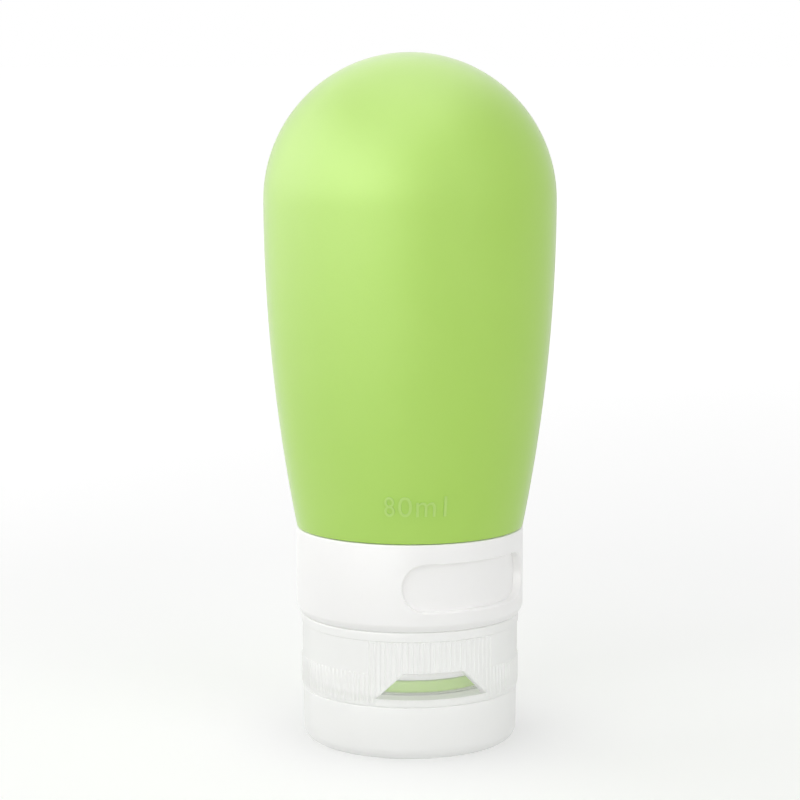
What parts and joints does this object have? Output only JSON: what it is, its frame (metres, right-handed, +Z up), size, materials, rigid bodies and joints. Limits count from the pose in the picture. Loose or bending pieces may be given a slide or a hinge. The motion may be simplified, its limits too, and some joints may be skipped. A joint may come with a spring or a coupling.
{
  "type": "travel silicone bottle",
  "caption": "Squeezable silicone travel bottle standing on its flip-top lid, with a screw collar, contents window, drip valve and hinged cap.",
  "frame": {"origin": "centre of the lid's flat face, on the surface that the bottle stands on", "axes": "+Z up along the bottle's axis, from the lid to the dome; the thumb notch faces -Y and the lid's hinge is at +Y"},
  "size_m": [0.046, 0.046, 0.1089],
  "materials": {
    "silicone_green": "satin",
    "collar_white": "satin",
    "ring_white": "satin",
    "cap_natural": "satin",
    "valve_clear": "satin"
  },
  "bodies": {
    "cap": {"cap_base": "cap_natural", "drip_valve": "valve_clear", "valve_retainer": "ring_white"},
    "lid": {"lid": "cap_natural"},
    "bottle": {"bottle_body": "silicone_green"},
    "collar": {"collar": "collar_white"},
    "contents_ring": {"contents_ring": "ring_white"}
  },
  "joints": [
    {"name": "lid_hinge", "type": "hinge", "parent": "cap", "child": "lid", "pos_m": [0, 0.01765, 0.00855], "axis": [1, 0, 0], "range_deg": [0, 180]},
    {"name": "bottle_lift", "type": "slide", "parent": "cap", "child": "bottle", "axis": [0, 0, 1], "range_m": [0, 0.0084]},
    {"name": "collar_turn", "type": "hinge", "parent": "bottle", "child": "collar", "pos_m": [0, 0, 0.0274], "axis": [0, 0, 1], "range_deg": [0, 720]},
    {"name": "ring_turn", "type": "hinge", "parent": "collar", "child": "contents_ring", "pos_m": [0, 0, 0.0274], "axis": [0, 0, 1], "continuous": true}
  ],
  "couplings": [
    {"joint": "collar_turn", "follows": "bottle_lift", "rad_per_m": 1496}
  ]
}
